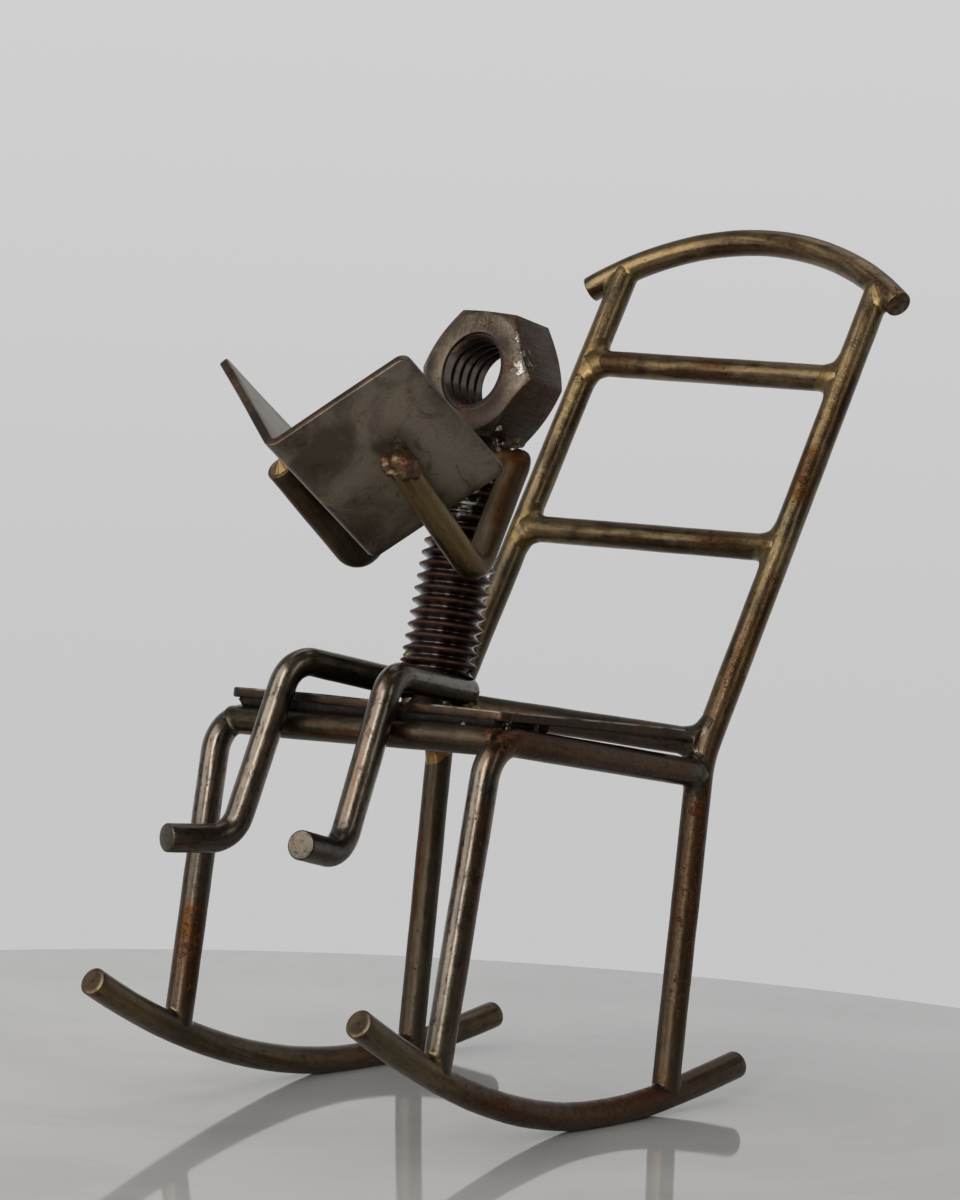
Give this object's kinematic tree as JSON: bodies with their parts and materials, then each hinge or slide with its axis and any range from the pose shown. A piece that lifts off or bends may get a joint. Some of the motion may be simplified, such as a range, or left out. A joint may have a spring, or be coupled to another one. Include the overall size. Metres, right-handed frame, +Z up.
{
  "type": "scrap metal figurine",
  "caption": "Ornament of a bolt and nut figure reading a folded sheet book in a rocking chair bent from round bar; stands on its rockers.",
  "frame": {"origin": "middle of the underside of the bounding box, on the surface the rockers stand on", "axes": "+Z up, -Y the way the chair and sitter face, +X the sitter's left"},
  "size_m": [0.0442, 0.083, 0.0919],
  "materials": {
    "bar_steel": "dark bronze-brown lacquered steel bar with rust specks and brassy tint at the welds",
    "sheet_steel": "dark brown lacquered sheet with a rusty cut edge",
    "book_steel": "dull grey sheet with warm heat stains",
    "thread_steel": "glossy black thread grooves with rusty crests",
    "nut_steel": "grey-brown brushed steel, lacquered",
    "braze": "weld and braze metal, glossy, brass yellow to brown"
  },
  "bodies": {
    "root": {"rocker_left": "bar_steel", "rocker_right": "bar_steel", "front_leg_left": "bar_steel", "front_leg_right": "bar_steel", "back_post_left": "bar_steel", "back_post_right": "bar_steel", "front_seat_bar": "bar_steel", "rear_seat_bar": "bar_steel", "lower_back_slat": "bar_steel", "upper_back_slat": "bar_steel", "crest_rail": "bar_steel", "seat_plate": "sheet_steel", "leg_left": "bar_steel", "leg_right": "bar_steel", "torso": "thread_steel", "arms": "bar_steel", "head_nut": "nut_steel", "book": "book_steel"}
  },
  "joints": []
}
